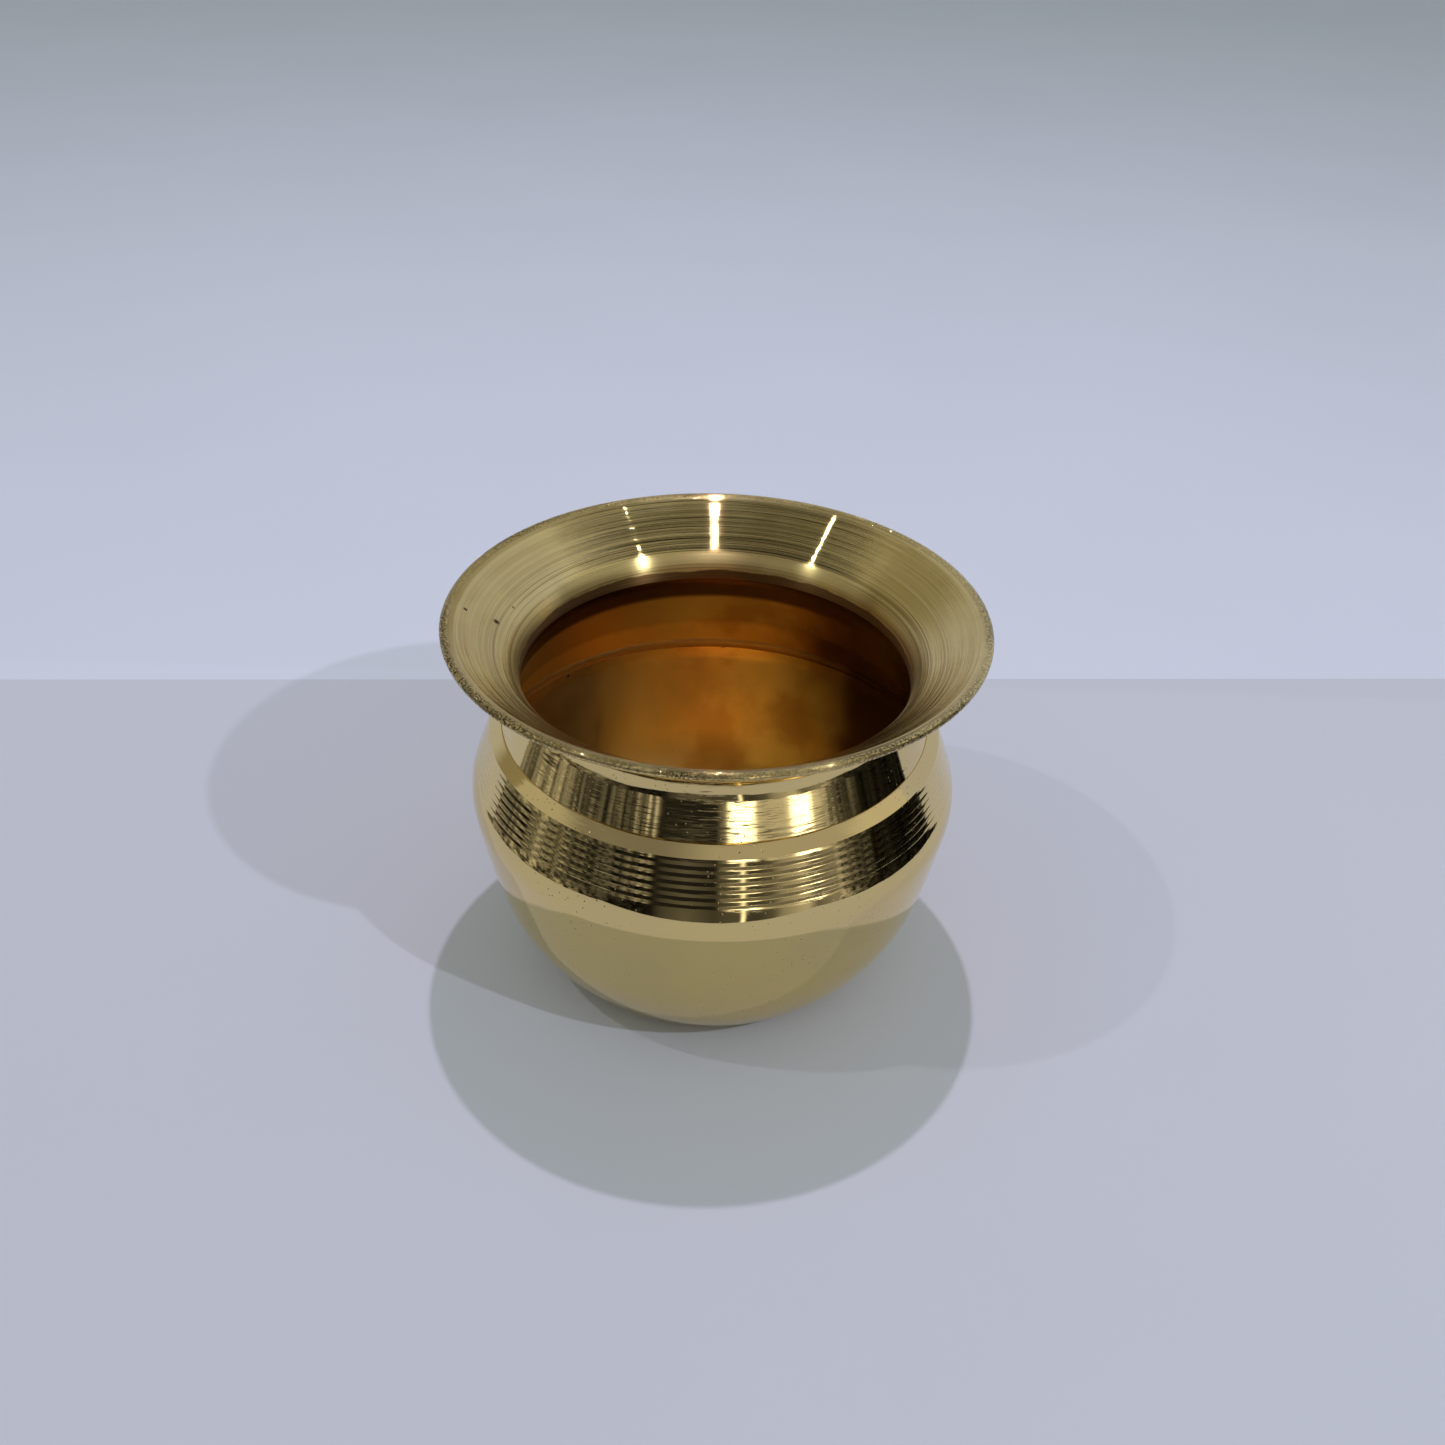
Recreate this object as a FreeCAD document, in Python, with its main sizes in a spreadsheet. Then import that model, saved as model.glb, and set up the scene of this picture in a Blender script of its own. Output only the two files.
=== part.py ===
"""Brass kalash pot: a spun bowl, a shoulder ring and a mouth collar, brazed into one vessel.

Every piece is turned about the Z axis. The origin is the middle of the base, on the
surface the pot stands on. Half sections are drawn in each body's XZ plane, so a sketch's
x is a radius and its y is a height. An angle given for a wall is its slope from vertical.
"""
import FreeCAD, Part
import math
import os

import Sketcher

DIMENSIONS = [
    # Whole pot
    ("TotalHeight", 75.0),
    ("RimRadius", 50.0),
    ("Wall", 1.25),
    # Bowl
    ("GirthRadius", 46.6),
    ("GirthHeight", 38.6),
    ("GirthBend", 13.2),
    ("SideTop", 36.5),
    ("SideBend", 189.0),
    ("SideBottom", 20.4),
    ("LowerBend", 37.5),
    ("BaseBend", 11.1),
    # Lap joint at the girth
    ("LapHeight", 2.4),
    # Shoulder
    ("ShoulderSlope", 20.0),
    ("LedgeRadius", 42.6),
    ("LedgeRounding", 0.3),
    ("GrooveCount", 6),
    ("GroovePitch", 1.4),
    ("FirstGroove", 1.25),
    ("GrooveDepth", 0.13),
    ("GrooveTool", 0.9),
    # Mouth collar
    ("FootRadius", 40.2),
    ("FootHeight", 53.8),
    ("NeckSlope", 19.4),
    ("SkirtHeight", 50.1),
    ("ThroatRadius", 37.55),
    ("ThroatBend", 5.75),
    ("FlareRise", 37.0),
    ("LipRise", 25.0),
    ("LipThickness", 1.5),
    # Brazing metal
    ("BrazeLeg", 1.2),
    ("BrazeRounding", 2.4),
]

# The height of the shoulder's upper edge follows from its slope and the girth's bend.
LEDGE_HEIGHT = (
    "<GirthHeight> + <GirthBend> * sin(<ShoulderSlope> * 1 deg) + "
    "(<GirthRadius> - <GirthBend> * (1 - cos(<ShoulderSlope> * 1 deg)) - <LedgeRadius>)"
    " / tan(<ShoulderSlope> * 1 deg)"
)

ORIGIN = (-1, 1)
FIRST, LAST, CENTRE = 1, 2, 3

doc = FreeCAD.newDocument("brass_kalash_pot")
sheet = doc.addObject("Spreadsheet::Sheet", "Dimensions")


def fill_sheet():
    for row, (alias, value) in enumerate(DIMENSIONS, start=1):
        sheet.set(f"A{row}", alias)
        sheet.set(f"B{row}", str(value))
        sheet.setAlias(f"B{row}", alias)
    doc.recompute()


def size(alias):
    return float(sheet.get(alias))


def cells(text):
    """Turns each alias in angle brackets into a reference to the sheet."""
    return text.replace("<", "Dimensions.").replace(">", "")


def degrees(expression):
    return f"({expression}) * 1 deg"


class Section:
    """A half section: lines and arcs joined end to end, tied down by bound constraints.

    Edges are drawn through rough points. The constraints then set their true places.
    """

    def __init__(self, body, name):
        self.sketch = body.newObject("Sketcher::SketchObject", name)
        plane = next(item for item in body.Origin.OriginFeatures if item.Role == "XZ_Plane")
        self.sketch.AttachmentSupport = [(plane, "")]
        self.sketch.MapMode = "FlatFace"
        self.ends = []

    def line(self, start, end, construction=False):
        edge = Part.LineSegment(FreeCAD.Vector(*start, 0), FreeCAD.Vector(*end, 0))
        self.ends.append((FIRST, LAST))
        return self.sketch.addGeometry(edge, construction)

    def arc(self, centre, radius, start_degrees, end_degrees):
        """An arc walked from the start angle to the end angle, either way round."""
        circle = Part.Circle(FreeCAD.Vector(*centre, 0), FreeCAD.Vector(0, 0, 1), radius)
        low = math.radians(min(start_degrees, end_degrees))
        high = math.radians(max(start_degrees, end_degrees))
        forwards = end_degrees > start_degrees
        self.ends.append((FIRST, LAST) if forwards else (LAST, FIRST))
        return self.sketch.addGeometry(Part.ArcOfCircle(circle, low, high), False)

    def circle(self, centre, radius):
        shape = Part.Circle(FreeCAD.Vector(*centre, 0), FreeCAD.Vector(0, 0, 1), radius)
        self.ends.append((FIRST, LAST))
        return self.sketch.addGeometry(shape, False)

    def start(self, edge):
        return (edge, self.ends[edge][0])

    def end(self, edge):
        return (edge, self.ends[edge][1])

    def tie(self, kind, *where):
        self.sketch.addConstraint(Sketcher.Constraint(kind, *where))

    def close(self, edges, smooth=()):
        """Joins each edge to the next, tangent where the pair's first edge is listed."""
        for edge, following in zip(edges, edges[1:] + edges[:1]):
            kind = "Tangent" if edge in smooth else "Coincident"
            self.tie(kind, *self.end(edge), *self.start(following))

    def bind(self, name, expression, kind, *where):
        """Adds a constraint at its drawn value and binds it to the sheet."""
        index = self.sketch.addConstraint(Sketcher.Constraint(kind, *where, self.guess(kind, where)))
        self.sketch.renameConstraint(index, name)
        self.sketch.setExpression(f"Constraints.{name}", cells(expression))

    def guess(self, kind, where):
        """The value that a new constraint has in the section as it is drawn."""
        if kind == "Radius":
            return self.sketch.Geometry[where[0]].Radius
        if len(where) == 1:
            edge = self.sketch.Geometry[where[0]]
            run = edge.EndPoint - edge.StartPoint
            return math.atan2(run.y, run.x) if kind == "Angle" else run.Length
        point = self.sketch.getPoint(*where[:2])
        if kind == "Distance":
            edge = self.sketch.Geometry[where[2]]
            return point.distanceToLine(edge.StartPoint, edge.EndPoint - edge.StartPoint)
        return point.x if kind == "DistanceX" else point.y

    def place(self, name, where, across=None, up=None):
        """Fixes a point's radius, its height or both."""
        if across is not None:
            self.bind(f"{name}Across", across, "DistanceX", *where)
        if up is not None:
            self.bind(f"{name}Up", up, "DistanceY", *where)


def new_body(label):
    body = doc.addObject("PartDesign::Body", label)
    body.Label = label
    return body


def turn(body, kind, section, name):
    """Revolves a section a full turn about Z, adding metal or cutting it away."""
    feature = body.newObject(f"PartDesign::{kind}", name)
    feature.Profile = section.sketch
    feature.ReferenceAxis = (section.sketch, ["V_Axis"])
    feature.Angle = 360.0
    doc.recompute()
    return feature


def hollow(body, solid, heights, name):
    """Leaves a wall inside a turned solid that is open at its flat faces at these heights."""
    open_faces = []
    for number, face in enumerate(solid.Shape.Faces, start=1):
        flat = isinstance(face.Surface, Part.Plane)
        if flat and any(abs(face.CenterOfMass.z - height) < 0.01 for height in heights):
            open_faces.append(f"Face{number}")
    shell = body.newObject("PartDesign::Thickness", name)
    shell.Base = (solid, open_faces)
    shell.Reversed = True
    shell.Join = "Intersection"
    shell.setExpression("Value", cells("<Wall>"))
    doc.recompute()
    return shell


def make_bowl():
    """The lower bowl: flat base, rounded side, and a thin tongue for the lap joint."""
    body = new_body("bowl")
    section = Section(body, "BowlOutline")
    base = section.line((0, 0), (25.7, 0))
    base_bend = section.arc((25.7, 11.1), 11.1, -90, -44)
    lower = section.arc((6.8, 29.4), 37.5, -44, -14)
    side = section.arc((-140, 66.2), 189, -14, -9)
    girth = section.arc((33.4, 38.6), 13.2, -9, 0)
    mouth = section.line((46.6, 38.6), (0, 38.6))
    axis = section.line((0, 38.6), (0, 0))
    edges = [base, base_bend, lower, side, girth, mouth, axis]
    section.close(edges, smooth=(base, base_bend, lower, side))
    section.tie("Coincident", *section.start(base), *ORIGIN)
    section.tie("Horizontal", base)
    section.tie("Horizontal", mouth)
    section.tie("Vertical", axis)
    bends = {"BaseBend": base_bend, "LowerBend": lower, "SideBend": side, "GirthBend": girth}
    for name, edge in bends.items():
        section.bind(name, f"<{name}>", "Radius", edge)
    section.place("GirthCentre", (girth, CENTRE), "<GirthRadius> - <GirthBend>", "<GirthHeight>")
    section.place("GirthEnd", section.end(girth), up="<GirthHeight>")
    section.place("SideTop", section.start(girth), up="<SideTop>")
    section.place("SideBottom", section.start(side), up="<SideBottom>")
    solid = turn(body, "Revolution", section, "BowlSolid")
    hollow(body, solid, [size("GirthHeight")], "BowlWall")
    tongue = ring_section(body, "Tongue", "<GirthRadius> - <Wall>", "<GirthRadius> - <Wall> / 2")
    turn(body, "Revolution", tongue, "BowlTongue")
    return body


def ring_section(body, name, inside, outside):
    """A rectangle as tall as the lap joint, standing on the girth."""
    section = Section(body, name)
    bottom = section.line((45.3, 38.6), (46.0, 38.6))
    outer = section.line((46.0, 38.6), (46.0, 41.0))
    top = section.line((46.0, 41.0), (45.3, 41.0))
    inner = section.line((45.3, 41.0), (45.3, 38.6))
    section.close([bottom, outer, top, inner])
    section.tie("Horizontal", bottom)
    section.tie("Horizontal", top)
    section.tie("Vertical", outer)
    section.tie("Vertical", inner)
    section.place(f"{name}Low", section.start(bottom), inside, "<GirthHeight>")
    section.place(f"{name}High", section.start(top), outside, "<GirthHeight> + <LapHeight>")
    return section


def make_shoulder():
    """The upper ring: girth, sloping shoulder with turned grooves, and the ledge at the neck."""
    body = new_body("shoulder")
    section = Section(body, "ShoulderOutline")
    bottom = section.line((0, 38.6), (46.6, 38.6))
    girth = section.arc((33.4, 38.6), 13.2, 0, 20)
    slope = section.line((45.8, 43.1), (42.6, 51.9))
    ledge = section.line((42.6, 51.9), (40.2, 53.8))
    top = section.line((40.2, 53.8), (0, 53.8))
    axis = section.line((0, 53.8), (0, 38.6))
    section.close([bottom, girth, slope, ledge, top, axis], smooth=(girth,))
    section.tie("Horizontal", bottom)
    section.tie("Horizontal", top)
    section.tie("Vertical", axis)
    section.place("Start", section.start(bottom), "0 mm", "<GirthHeight>")
    section.bind("GirthBend", "<GirthBend>", "Radius", girth)
    section.place("GirthCentre", (girth, CENTRE), "<GirthRadius> - <GirthBend>", "<GirthHeight>")
    section.bind("ShoulderSlope", degrees("90 + <ShoulderSlope>"), "Angle", slope)
    section.place("LedgeEdge", section.end(slope), "<LedgeRadius>")
    section.place("Foot", section.end(ledge), "<FootRadius>", "<FootHeight>")
    solid = turn(body, "Revolution", section, "ShoulderSolid")
    hollow(body, solid, [size("GirthHeight"), size("FootHeight")], "ShoulderWall")
    rabbet = ring_section(body, "Rabbet", "<GirthRadius> - 3 * <Wall>", "<GirthRadius> - <Wall> / 2")
    turn(body, "Groove", rabbet, "ShoulderRabbet")
    turn(body, "Groove", seat_section(body), "NeckSeat")
    turn(body, "Groove", groove_section(body), "TurnedGrooves")
    round_ledge(body)
    return body


def seat_section(body):
    """The space inside the collar's cone, which leaves the shoulder's hole a tapered seat."""
    section = Section(body, "NeckSeatOutline")
    bottom = section.line((0, 45.0), (43.3, 45.0))
    cone = section.line((43.3, 45.0), (40.2, 53.8))
    top = section.line((40.2, 53.8), (0, 53.8))
    axis = section.line((0, 53.8), (0, 45.0))
    section.close([bottom, cone, top, axis])
    section.tie("Horizontal", bottom)
    section.tie("Horizontal", top)
    section.tie("Vertical", axis)
    section.place("Start", section.start(bottom), "0 mm", "<SkirtHeight> - 4 * <Wall>")
    section.bind("NeckSlope", degrees("90 + <NeckSlope>"), "Angle", cone)
    section.place("Foot", section.end(cone), "<FootRadius>", "<FootHeight>")
    return section


def groove_section(body):
    """Evenly spaced round tool marks that run down the shoulder from the ledge."""
    section = Section(body, "TurnedGrooveTools")
    sine = "sin(<ShoulderSlope> * 1 deg)"
    cosine = "cos(<ShoulderSlope> * 1 deg)"
    out = "(<GrooveTool> - <GrooveDepth>)"
    for number in range(int(size("GrooveCount"))):
        along = f"(<FirstGroove> + {number} * <GroovePitch>)"
        across = f"<LedgeRadius> + {along} * {sine} + {out} * {cosine}"
        up = f"{LEDGE_HEIGHT} - {along} * {cosine} + {out} * {sine}"
        tool = section.circle((43.7 + 0.5 * number, 51.0 - 1.3 * number), 0.9)
        section.bind(f"Tool{number}", "<GrooveTool>", "Radius", tool)
        section.place(f"Tool{number}", (tool, CENTRE), across, up)
    return section


def round_ledge(body):
    """Breaks the sharp outer edge of the ledge."""
    grooved = body.Tip
    names = []
    for number, edge in enumerate(grooved.Shape.Edges, start=1):
        curve = edge.Curve
        if isinstance(curve, Part.Circle) and abs(curve.Radius - size("LedgeRadius")) < 0.001:
            names.append(f"Edge{number}")
    rounding = body.newObject("PartDesign::Fillet", "LedgeRounding")
    rounding.Base = (grooved, names)
    rounding.setExpression("Radius", cells("<LedgeRounding>"))
    doc.recompute()


def make_mouth_collar():
    """The neck and flared mouth: a tapered skirt, a round throat and a rounded lip."""
    body = new_body("mouth_collar")
    section = Section(body, "CollarOutline")
    skirt = section.line((41.5, 50.1), (40.2, 53.8))
    neck = section.line((40.2, 53.8), (37.88, 60.39))
    throat = section.arc((43.3, 62.3), 5.75, 199.4, 127)
    flare = section.line((39.84, 66.89), (47.3, 72.51))
    underside = section.line((47.3, 72.51), (49.57, 73.57))
    lip = section.arc((49.25, 74.25), 0.75, -65, 115)
    face = section.line((48.93, 74.93), (47.6, 74.3))
    inner_flare = section.line((47.6, 74.3), (39.09, 67.89))
    inner_throat = section.arc((43.3, 62.3), 7.0, 127, 199.4)
    inner_neck = section.line((36.7, 59.97), (40.32, 49.7))
    foot = section.line((40.32, 49.7), (41.5, 50.1))
    edges = [skirt, neck, throat, flare, underside, lip, face, inner_flare, inner_throat, inner_neck, foot]
    section.close(edges, smooth=(neck, throat, underside, lip, inner_flare, inner_throat))
    section.bind("SkirtSlope", degrees("90 + <NeckSlope>"), "Angle", skirt)
    section.bind("NeckSlope", degrees("90 + <NeckSlope>"), "Angle", neck)
    section.bind("FlareRise", degrees("<FlareRise>"), "Angle", flare)
    section.bind("LipRise", degrees("<LipRise>"), "Angle", underside)
    section.tie("Parallel", underside, face)
    section.tie("Parallel", flare, inner_flare)
    section.tie("Parallel", neck, inner_neck)
    section.tie("Perpendicular", inner_neck, foot)
    section.tie("Coincident", throat, CENTRE, inner_throat, CENTRE)
    section.bind("ThroatBend", "<ThroatBend>", "Radius", throat)
    section.bind("InnerBend", "<ThroatBend> + <Wall>", "Radius", inner_throat)
    section.bind("LipRadius", "<LipThickness> / 2", "Radius", lip)
    section.place("Throat", (throat, CENTRE), "<ThroatRadius> + <ThroatBend>")
    lip_across = "<RimRadius> - <LipThickness> / 2"
    section.place("Lip", (lip, CENTRE), lip_across, "<TotalHeight> - <LipThickness> / 2")
    section.place("Foot", section.end(skirt), "<FootRadius>", "<FootHeight>")
    section.place("Skirt", section.start(skirt), up="<SkirtHeight>")
    turn(body, "Revolution", section, "CollarWall")
    return body


def make_belly_braze():
    """The bead of brazing metal that covers the inside of the lap joint at the girth."""
    body = new_body("belly_braze")
    section = Section(body, "BellyBrazeOutline")
    on_tongue = section.line((45.35, 39.8), (45.35, 41.0))
    on_step = section.line((45.35, 41.0), (45.1, 41.0))
    on_shoulder = section.arc((33.4, 38.6), 11.95, 11.6, 17.5)
    front = section.arc((47.1, 41.4), 2.4, 161, 217)
    section.close([on_tongue, on_step, on_shoulder, front])
    section.tie("Vertical", on_tongue)
    section.tie("Horizontal", on_step)
    section.place("Corner", section.end(on_tongue), "<GirthRadius> - <Wall>", "<GirthHeight> + <LapHeight>")
    section.place("Low", section.start(on_tongue), up="<GirthHeight> + <LapHeight> - <BrazeLeg>")
    section.place("High", section.end(on_shoulder), up="<GirthHeight> + <LapHeight> + <BrazeLeg>")
    section.place("Girth", (on_shoulder, CENTRE), "<GirthRadius> - <GirthBend>", "<GirthHeight>")
    section.bind("InnerBend", "<GirthBend> - <Wall>", "Radius", on_shoulder)
    section.bind("BrazeRounding", "<BrazeRounding>", "Radius", front)
    turn(body, "Revolution", section, "BellyBrazeBead")
    return body


def make_neck_braze():
    """The ring of brazing metal that fills the gap between the collar's skirt and the shoulder."""
    body = new_body("neck_braze")
    section = Section(body, "NeckBrazeOutline")
    ledge = section.line((42.6, 51.9), (40.2, 53.8), construction=True)
    slope = section.line((42.6, 51.9), (43.0, 50.8), construction=True)
    seat = section.line((40.2, 53.8), (40.97, 51.6), construction=True)
    on_skirt = section.line((40.97, 51.6), (41.5, 50.0))
    front = section.line((41.5, 50.0), (41.95, 50.0))
    on_slope = section.line((41.95, 50.0), (41.55, 51.15))
    on_ledge = section.line((41.55, 51.15), (40.97, 51.6))
    section.close([on_skirt, front, on_slope, on_ledge])
    section.tie("Coincident", *section.start(ledge), *section.start(slope))
    section.tie("Coincident", *section.end(ledge), *section.start(seat))
    section.tie("Coincident", *section.end(seat), *section.start(on_skirt))
    section.tie("Parallel", ledge, on_ledge)
    section.tie("Parallel", slope, on_slope)
    section.tie("Parallel", seat, on_skirt)
    section.tie("Perpendicular", front, on_slope)
    section.place("LedgeEdge", section.start(ledge), "<LedgeRadius>", LEDGE_HEIGHT)
    section.place("Foot", section.end(ledge), "<FootRadius>", "<FootHeight>")
    section.bind("NeckSlope", degrees("<NeckSlope> - 90"), "Angle", seat)
    section.bind("ShoulderSlope", degrees("<ShoulderSlope> - 90"), "Angle", slope)
    section.bind("SlopeLength", "<BrazeLeg>", "Distance", slope)
    section.bind("UnderLedge", "<Wall>", "Distance", *section.end(ledge), on_ledge)
    section.bind("UnderSlope", "<Wall>", "Distance", *section.start(slope), on_slope)
    section.bind("BrazeLeg", "<BrazeLeg>", "Distance", on_slope)
    turn(body, "Revolution", section, "NeckBrazeRing")
    return body


def check(bodies):
    """Stops with the names of failed objects or bad shapes."""
    failed = [item.Name for item in doc.Objects if {"Invalid", "Error"} & set(item.State)]
    bad = [body.Label for body in bodies if body.Shape.isNull() or not body.Shape.isValid()]
    split = [body.Label for body in bodies if len(body.Shape.Solids) != 1]
    sketches = [item for item in doc.Objects if item.isDerivedFrom("Sketcher::SketchObject")]
    loose = [sketch.Name for sketch in sketches if not sketch.FullyConstrained]
    if failed or bad or split or loose:
        raise RuntimeError(f"failed {failed}, bad {bad}, not one solid {split}, loose {loose}")


def main():
    fill_sheet()
    bodies = [make_bowl(), make_shoulder(), make_mouth_collar(), make_belly_braze(), make_neck_braze()]
    doc.recompute()
    check(bodies)
    os.makedirs("parts", exist_ok=True)
    for body in bodies:
        body.Shape.exportStep(f"parts/{body.Label}.step")
        print(body.Label, round(body.Shape.Volume, 1), "mm3")


main()
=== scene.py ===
"""Looks of the brass kalash pot: turned shells, polished outside and pickled orange inside."""

import math

import bpy
from mathutils import Matrix, Vector


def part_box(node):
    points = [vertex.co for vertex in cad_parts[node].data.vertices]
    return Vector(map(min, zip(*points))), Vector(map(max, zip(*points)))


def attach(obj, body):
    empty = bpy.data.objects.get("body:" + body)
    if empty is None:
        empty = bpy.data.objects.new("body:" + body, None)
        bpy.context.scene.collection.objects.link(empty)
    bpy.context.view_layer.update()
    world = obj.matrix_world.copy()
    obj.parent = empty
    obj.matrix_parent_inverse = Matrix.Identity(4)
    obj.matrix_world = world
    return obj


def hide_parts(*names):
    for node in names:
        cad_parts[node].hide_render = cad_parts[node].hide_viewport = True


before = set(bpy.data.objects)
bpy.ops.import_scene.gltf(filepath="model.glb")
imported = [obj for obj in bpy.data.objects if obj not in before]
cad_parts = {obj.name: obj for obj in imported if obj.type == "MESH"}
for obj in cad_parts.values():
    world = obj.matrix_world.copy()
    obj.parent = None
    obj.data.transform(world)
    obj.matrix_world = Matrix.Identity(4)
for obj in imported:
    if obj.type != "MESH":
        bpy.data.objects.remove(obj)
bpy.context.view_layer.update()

MM = 0.001
SEGMENTS = 480

# Driving dimensions in millimetres, the same as the CAD model's.
WALL = 1.25
LAP_HEIGHT = 2.4
GIRTH_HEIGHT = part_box("bowl")[1].z / MM - LAP_HEIGHT
GIRTH_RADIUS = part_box("bowl")[1].x / MM
GIRTH_BEND = 13.2
SIDE_TOP = 36.5
SIDE_BEND = 189.0
SIDE_BOTTOM = 20.4
LOWER_BEND = 37.5
BASE_BEND = 11.1
SHOULDER_SLOPE = 20.0
LEDGE_RADIUS = 42.6
FIRST_GROOVE = 1.25
GROOVE_PITCH = 1.4
GROOVE_COUNT = 6
FOOT_RADIUS = 40.2
FOOT_HEIGHT = 53.8
NECK_SLOPE = 19.4
SKIRT_HEIGHT = 50.1
THROAT_RADIUS = 37.55
THROAT_BEND = 5.75
FLARE_RISE = 37.0
LIP_RISE = 25.0
LIP_THICKNESS = 1.5
BRAZE_LEG = 1.2
BRAZE_HOLLOW = 2.4
RIM_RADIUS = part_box("mouth_collar")[1].x / MM
TOTAL_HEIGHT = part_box("mouth_collar")[1].z / MM

# Dimensions that only the looks need. A flat stretch is cut into short steps, because smooth
# shading would bend one long face.
EDGE_ROUND = 0.06
UNDER_LIP_ROUND = 1.0
OVER_LIP_ROUND = 1.5
GROOVE_WAVE = 0.03
GROOVE_CUT = 0.013
CUT_WIDTH = 0.3
FLAT_STEP = 0.3
GROOVE_STEP = 0.06
SHARP_ANGLE = 25.0
SAME_POINT = 1e-4
ON_AXIS = 1e-6

# The polish inside the mouth ends at this height, in millimetres.
POLISH_END = 63.9


# ---------------------------------------------------------------- turned outlines

def polar(centre, radius, angle):
    """The point at an angle in degrees on a circle in the radius-height plane."""
    turn = math.radians(angle)
    return (centre[0] + radius * math.cos(turn), centre[1] + radius * math.sin(turn))


def slope_of(start, end):
    """The direction in degrees from one point to another."""
    return math.degrees(math.atan2(end[1] - start[1], end[0] - start[0]))


def line(start, end, step=0.6):
    """Points along a straight stretch, about a step apart."""
    count = max(1, round(math.dist(start, end) / step))
    return [
        (start[0] + (end[0] - start[0]) * k / count, start[1] + (end[1] - start[1]) * k / count)
        for k in range(count + 1)
    ]


def arc(centre, radius, start_angle, end_angle, step=1.5):
    """Points along a round stretch, about a step of degrees apart."""
    count = max(2, round(abs(end_angle - start_angle) / step))
    return [
        polar(centre, radius, start_angle + (end_angle - start_angle) * k / count)
        for k in range(count + 1)
    ]


def carry_on(centre, radius, angle, new_radius):
    """Centre of the arc that carries on smoothly from another arc at an angle."""
    return polar(centre, radius - new_radius, angle)


def meet(first, first_angle, second, second_angle):
    """Where two lines cross, each given by a point and a direction in degrees."""
    ax, ay = math.cos(math.radians(first_angle)), math.sin(math.radians(first_angle))
    bx, by = math.cos(math.radians(second_angle)), math.sin(math.radians(second_angle))
    along = ((second[0] - first[0]) * by - (second[1] - first[1]) * bx) / (ax * by - ay * bx)
    return (first[0] + ax * along, first[1] + ay * along)


def rounded(corner, before, after, radius, count=6):
    """A small round of a few steps in place of the corner between two straight stretches."""
    one = Vector(before) - Vector(corner)
    two = Vector(after) - Vector(corner)
    half = one.angle(two) / 2
    back = radius / math.tan(half)
    start = Vector(corner) + one.normalized() * back
    inward = (one.normalized() + two.normalized()).normalized()
    middle = Vector(corner) + inward * radius / math.sin(half)
    end = Vector(corner) + two.normalized() * back
    first = slope_of(middle, start)
    turn = (slope_of(middle, end) - first + 180) % 360 - 180
    return arc(tuple(middle), radius, first, first + turn, abs(turn) / count)


def grooved(points, centres, depth, width):
    """Presses round turning marks, at distances along the stretch, into its surface."""
    start, end = Vector(points[0]), Vector(points[-1])
    along = (end - start).normalized()
    inward = Vector((along.y, -along.x))
    if inward.x > 0:
        inward = -inward
    pressed = []
    for point in points:
        run = (Vector(point) - start).length
        drop = 0.0
        for centre in centres:
            offset = abs(run - centre)
            if offset < width / 2:
                drop += depth * math.cos(math.pi * offset / width) ** 2
        pressed.append(tuple(Vector(point) + inward * drop))
    return pressed


def bend_arc(centre, radius, start_angle, end_angle):
    """A bend of the bowl. A nearly straight one has finer steps of angle."""
    return arc(centre, radius, start_angle, end_angle, 0.5 if radius > 100 else 1.5)


def bowl_outline():
    """The lower shell: outside from the base up, the lap's tongue, and inside back down."""
    girth = (GIRTH_RADIUS - GIRTH_BEND, GIRTH_HEIGHT)
    girth_end = -math.degrees(math.asin((GIRTH_HEIGHT - SIDE_TOP) / GIRTH_BEND))
    side = carry_on(girth, GIRTH_BEND, girth_end, SIDE_BEND)
    side_end = -math.degrees(math.asin((side[1] - SIDE_BOTTOM) / SIDE_BEND))
    lower = carry_on(side, SIDE_BEND, side_end, LOWER_BEND)
    drop = lower[1] - BASE_BEND
    lower_end = -math.degrees(math.asin(drop / (LOWER_BEND - BASE_BEND)))
    base = carry_on(lower, LOWER_BEND, lower_end, BASE_BEND)
    bends = [
        (base, BASE_BEND, -90, lower_end),
        (lower, LOWER_BEND, lower_end, side_end),
        (side, SIDE_BEND, side_end, girth_end),
        (girth, GIRTH_BEND, girth_end, 0),
    ]
    outside = [(0.0, 0.0)]
    for centre, radius, start, end in bends:
        outside += bend_arc(centre, radius, start, end)
    tongue = (GIRTH_RADIUS - WALL / 2, GIRTH_RADIUS - WALL)
    lap = [
        (tongue[0], GIRTH_HEIGHT),
        (tongue[0], GIRTH_HEIGHT + LAP_HEIGHT),
        (tongue[1], GIRTH_HEIGHT + LAP_HEIGHT),
    ]
    inside = []
    for centre, radius, start, end in reversed(bends):
        inside += bend_arc(centre, radius - WALL, end, start)
    inside.append((0.0, WALL))
    return [("polished", outside), ("pickled", lap), ("pickled", inside)]


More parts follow.
